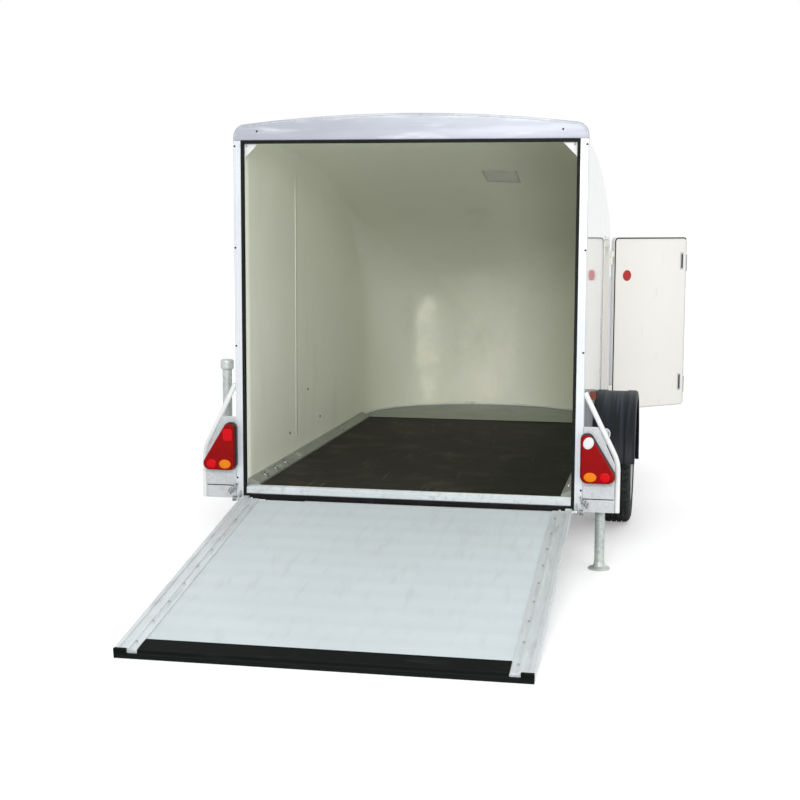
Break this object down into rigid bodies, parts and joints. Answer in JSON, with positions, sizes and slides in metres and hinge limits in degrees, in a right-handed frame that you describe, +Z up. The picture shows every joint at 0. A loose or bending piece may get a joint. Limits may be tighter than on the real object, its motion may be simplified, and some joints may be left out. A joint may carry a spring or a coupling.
{
  "type": "enclosed cargo trailer",
  "caption": "Single-axle enclosed box trailer with a falling roof line, a rear loading ramp, a side door, prop stands, a jockey wheel and a V drawbar.",
  "frame": {"origin": "on the load floor's top face, on the centre line, right above the wheel axis", "axes": "+Z up out of the load floor, +Y forward to the coupling, +X to the right"},
  "size_m": [1.9609, 5.3237, 1.7935],
  "materials": {
    "white_polyester": "glossy",
    "aluminium": "satin",
    "galvanised_steel": "satin zinc",
    "black_rubber": "matte",
    "tyre_rubber": "matte",
    "black_plastic": "fine grained",
    "dark_floor": "film-faced plywood, worn",
    "pale_deck": "satin",
    "white_paint": "semi-gloss",
    "red_lens": "glossy",
    "rim_steel": "satin silver"
  },
  "bodies": {
    "trailer": {"roof_and_nose": "white_polyester", "side_wall_left": "white_polyester", "side_wall_right": "white_polyester", "rear_post_left": "aluminium", "rear_post_right": "aluminium", "rear_header": "aluminium", "rear_sill": "aluminium", "floor_rail_left": "aluminium", "floor_rail_right": "aluminium", "nose_floor_plate": "aluminium", "side_door_frame": "aluminium", "chassis_rail_left": "galvanised_steel", "chassis_rail_right": "galvanised_steel", "rear_cross_member": "galvanised_steel", "front_cross_member": "galvanised_steel", "axle_beam": "galvanised_steel", "swing_arm_left": "galvanised_steel", "swing_arm_right": "galvanised_steel", "drawbar_left": "galvanised_steel", "drawbar_right": "galvanised_steel", "coupling_head": "galvanised_steel", "jockey_tube": "galvanised_steel", "stand_clamp_left": "galvanised_steel", "stand_clamp_right": "galvanised_steel", "lamp_bracket_left": "galvanised_steel", "lamp_bracket_right": "galvanised_steel", "ramp_hinge_left": "galvanised_steel", "ramp_hinge_right": "galvanised_steel", "opening_seal": "black_rubber", "mudguard_left": "black_plastic", "mudguard_right": "black_plastic", "tail_lamp_housing_left": "black_plastic", "tail_lamp_housing_right": "black_plastic", "load_floor": "dark_floor", "corner_gusset_left": "white_paint", "corner_gusset_right": "white_paint", "lamp_brace_left": "white_paint", "lamp_brace_right": "white_paint", "tail_lamp_lens_left": "red_lens", "tail_lamp_lens_right": "red_lens"},
    "wheel_left": {"tyre_left": "tyre_rubber", "wheel_rim_left": "rim_steel"},
    "wheel_right": {"tyre_right": "tyre_rubber", "wheel_rim_right": "rim_steel"},
    "ramp": {"ramp_deck": "pale_deck", "ramp_rail_left": "aluminium", "ramp_rail_right": "aluminium", "ramp_flap": "black_rubber"},
    "side_door": {"side_door_leaf": "white_polyester", "side_door_seal": "black_rubber", "side_door_latch_lower": "black_plastic", "side_door_latch_upper": "black_plastic"},
    "stand_left": {"prop_stand_left": "galvanised_steel"},
    "stand_right": {"prop_stand_right": "galvanised_steel"},
    "jockey_leg": {"jockey_inner_tube": "galvanised_steel"},
    "jockey_fork": {"jockey_fork": "galvanised_steel"},
    "jockey_wheel": {"jockey_wheel": "black_rubber"}
  },
  "joints": [
    {"name": "wheel_left_spin", "type": "hinge", "parent": "trailer", "child": "wheel_left", "pos_m": [-0.7835, 0, -0.024], "axis": [1, 0, 0], "continuous": true},
    {"name": "wheel_right_spin", "type": "hinge", "parent": "trailer", "child": "wheel_right", "pos_m": [0.7835, 0, -0.024], "axis": [1, 0, 0], "continuous": true},
    {"name": "ramp_fold", "type": "hinge", "parent": "trailer", "child": "ramp", "pos_m": [0, -1.1075, -0.0468], "axis": [-1, 0, 0], "range_deg": [0, 99.57]},
    {"name": "side_door_swing", "type": "hinge", "parent": "trailer", "child": "side_door", "pos_m": [0.703, 0.8426, 0.5], "axis": [0, 0, 1], "range_deg": [-133, 0]},
    {"name": "stand_left_slide", "type": "slide", "parent": "trailer", "child": "stand_left", "axis": [0, 0, 1], "range_m": [-0.2465, 0]},
    {"name": "stand_right_slide", "type": "slide", "parent": "trailer", "child": "stand_right", "axis": [0, 0, 1], "range_m": [0, 0.2465]},
    {"name": "jockey_wind", "type": "slide", "parent": "trailer", "child": "jockey_leg", "axis": [0, 0, 1], "range_m": [0, 0.11]},
    {"name": "jockey_swivel", "type": "hinge", "parent": "jockey_leg", "child": "jockey_fork", "pos_m": [-0.2, 2.25, -0.2], "axis": [0, 0, 1], "continuous": true},
    {"name": "jockey_wheel_spin", "type": "hinge", "parent": "jockey_fork", "child": "jockey_wheel", "pos_m": [-0.2, 2.22, -0.2175], "axis": [1, 0, 0], "continuous": true}
  ]
}
